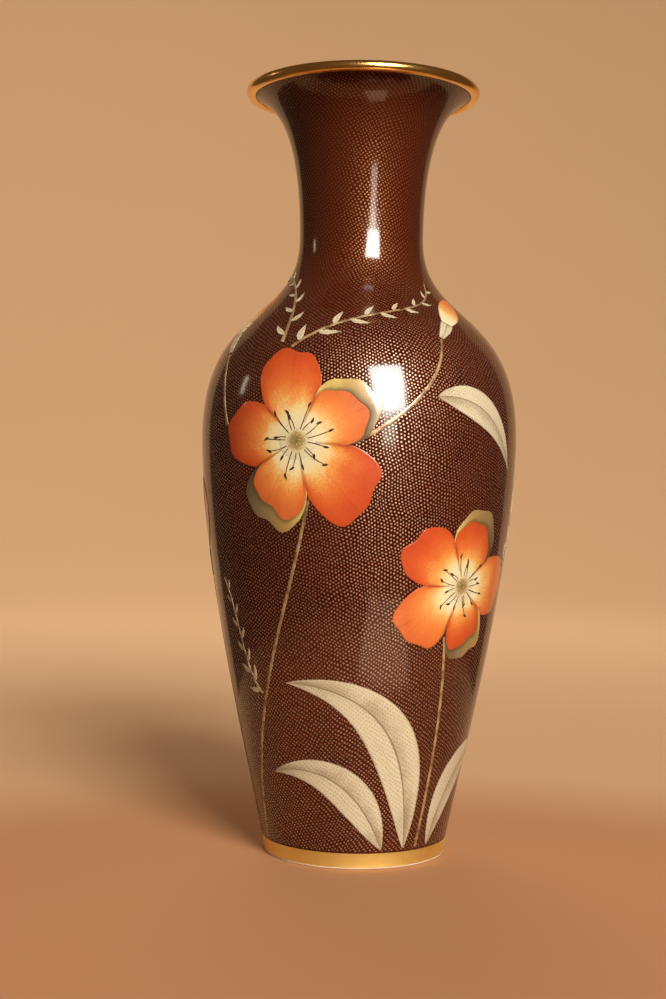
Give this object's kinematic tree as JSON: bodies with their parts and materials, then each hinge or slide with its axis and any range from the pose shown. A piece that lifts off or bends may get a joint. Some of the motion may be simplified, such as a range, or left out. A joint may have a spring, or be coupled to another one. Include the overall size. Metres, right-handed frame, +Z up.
{
  "type": "vase",
  "caption": "Tall baluster vase of glazed porcelain: flared gilt lip, narrow neck, full shoulder, tapered foot with a gilt band, dotted brown ground and orange enamel flowers.",
  "frame": {"origin": "centre of the foot ring's standing face", "axes": "+Z up along the axis of the vase, -Y towards the front, +X to the right seen from the front"},
  "size_m": [0.1327, 0.1334, 0.32],
  "materials": {
    "porcelain": "bare bisque, matt",
    "clear_glaze": "clear glaze over white porcelain, glossy",
    "ground_glaze": "dark brown glaze with fine tan gold dots, glossy",
    "gilding": "burnished gilding",
    "orange_enamel": "orange enamel shaded to yellow, glossy",
    "deep_enamel": "deep orange enamel, glossy",
    "olive_enamel": "olive gold enamel, glossy",
    "cream_enamel": "cream enamel with fine stippling, glossy"
  },
  "bodies": {
    "root": {"porcelain_body": "porcelain", "inner_glaze": "clear_glaze", "base_glaze": "clear_glaze", "ground_glaze": "ground_glaze", "foot_gilding": "gilding", "lip_gilding": "gilding", "back_blossom_heart": "cream_enamel", "back_blossom_petal_1": "deep_enamel", "back_blossom_petal_2": "orange_enamel", "back_blossom_petal_2_fold": "olive_enamel", "back_blossom_petal_3": "deep_enamel", "back_blossom_petal_4": "orange_enamel", "back_blossom_petal_5": "deep_enamel", "back_blossom_petal_5_fold": "olive_enamel", "back_blossom_stem": "cream_enamel", "back_bud": "orange_enamel", "back_bud_cup": "cream_enamel", "back_bud_stem": "cream_enamel", "back_leaf_left": "cream_enamel", "back_leaf_right": "cream_enamel", "back_sprig": "cream_enamel", "foot_leaf_long": "cream_enamel", "foot_leaf_low": "cream_enamel", "foot_leaf_right": "cream_enamel", "front_blossom_heart": "cream_enamel", "front_blossom_petal_1": "deep_enamel", "front_blossom_petal_2": "orange_enamel", "front_blossom_petal_2_fold": "olive_enamel", "front_blossom_petal_3": "deep_enamel", "front_blossom_petal_4": "orange_enamel", "front_blossom_petal_4_fold": "olive_enamel", "front_blossom_petal_5": "deep_enamel", "front_blossom_stem": "cream_enamel", "left_bud": "orange_enamel", "left_bud_cup": "cream_enamel", "left_bud_stem": "cream_enamel", "left_sprig": "cream_enamel", "low_blossom_heart": "cream_enamel", "low_blossom_petal_1": "deep_enamel", "low_blossom_petal_1_fold": "olive_enamel", "low_blossom_petal_2": "orange_enamel", "low_blossom_petal_3": "deep_enamel", "low_blossom_petal_3_fold": "olive_enamel", "low_blossom_petal_4": "orange_enamel", "low_blossom_petal_5": "deep_enamel", "low_blossom_stem": "cream_enamel", "right_bud": "orange_enamel", "right_bud_cup": "cream_enamel", "right_bud_stem": "cream_enamel", "right_sprig": "cream_enamel", "shoulder_leaf": "cream_enamel", "shoulder_sprig": "cream_enamel", "side_blossom_cup": "cream_enamel", "side_blossom_petal_left": "orange_enamel", "side_blossom_petal_middle": "orange_enamel", "side_blossom_petal_right": "orange_enamel", "side_blossom_stem": "cream_enamel", "side_leaf": "cream_enamel", "stem_sprig": "cream_enamel"}
  },
  "joints": []
}
